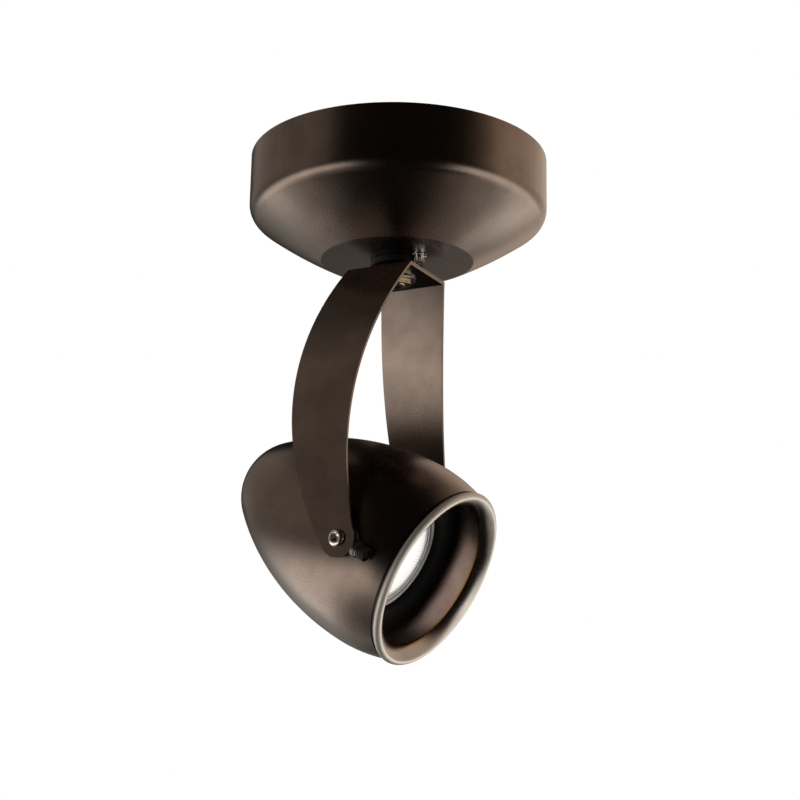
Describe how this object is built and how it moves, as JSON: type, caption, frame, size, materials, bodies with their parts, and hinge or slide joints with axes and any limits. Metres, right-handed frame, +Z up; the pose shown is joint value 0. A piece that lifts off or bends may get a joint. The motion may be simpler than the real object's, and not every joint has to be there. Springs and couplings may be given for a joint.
{
  "type": "adjustable ceiling spotlight",
  "caption": "Round ceiling canopy with a bent two-arm yoke that swivels and carries a tilting bullet-shaped spot head with a recessed reflector lamp.",
  "frame": {"origin": "centre of the ceiling plate's screw pattern, on the ceiling plane and the canopy's axis", "axes": "+Z up into the ceiling along the canopy's axis, +X the horizontal direction in which the head aims, Y the tilt axis"},
  "size_m": [0.147, 0.14, 0.2354],
  "materials": {
    "bronze_paint": "dark oil-rubbed bronze, satin powder coat",
    "bronze_satin": "bronze paint with a silkier sheen",
    "bronze_inner": "satin bronze inside the mouth",
    "black_metal": "black, satin",
    "black_plastic": "moulded, fine grain",
    "black_rubber": "matte",
    "white_ceramic": "unglazed white",
    "brass": "yellow passivated, satin",
    "zinc_steel": "zinc plated",
    "bright_steel": "bright nickel plate",
    "green_steel": "green ground screw",
    "nylon": "natural nylon",
    "lit_glass": "lit front glass with faint facets",
    "mirror_coat": "faceted reflector coating",
    "quartz": "clear quartz"
  },
  "bodies": {
    "canopy": {"canopy_shell": "bronze_paint", "ceiling_plate": "zinc_steel", "plate_nuts": "zinc_steel", "canopy_screws": "black_metal", "ground_screw": "green_steel", "transformer": "black_plastic", "transformer_shelf": "zinc_steel", "transformer_screws": "zinc_steel", "terminal_block": "white_ceramic", "terminal_screws": "brass", "swivel_stem": "brass", "stem_lock_washer": "zinc_steel", "stem_lock_nut": "zinc_steel", "hub_collar": "black_metal", "thrust_washer": "zinc_steel", "spring_washer": "zinc_steel", "swivel_nut": "brass", "stem_bushing": "black_plastic", "stop_screw": "bright_steel"},
    "yoke": {"yoke_strap": "bronze_paint", "stop_stud": "bright_steel"},
    "head": {"head_shell": "bronze_paint", "bezel_ring": "bronze_satin", "baffle_tube": "bronze_inner", "lamp_carrier": "black_metal", "carrier_screws": "zinc_steel", "lamp_clip_ring": "bright_steel", "lamp_lens": "lit_glass", "lamp_reflector": "mirror_coat", "lamp_capsule": "quartz", "lamp_base": "white_ceramic", "lamp_pins": "bright_steel", "lamp_socket": "white_ceramic", "socket_screws": "zinc_steel", "socket_bracket": "zinc_steel", "bracket_rivets": "black_metal", "cord_grommet": "black_rubber", "pivot_screws": "bright_steel", "pivot_washers": "nylon", "tilt_lock_lug": "bright_steel"},
    "tilt_lock": {"tilt_lock_screw": "black_metal"}
  },
  "joints": [
    {"name": "yoke_turn", "type": "hinge", "parent": "canopy", "child": "yoke", "pos_m": [0, 0, -0.0558], "axis": [0, 0, 1], "range_deg": [-166, 166]},
    {"name": "head_tilt", "type": "hinge", "parent": "yoke", "child": "head", "pos_m": [0, 0, -0.1858], "axis": [0, 1, 0], "range_deg": [-29.2, 60.8]},
    {"name": "tilt_lock_turn", "type": "hinge", "parent": "head", "child": "tilt_lock", "pos_m": [0.00908, -0.04855, -0.19087], "axis": [0.8729, 0, -0.4879], "range_deg": [0, 540]}
  ]
}
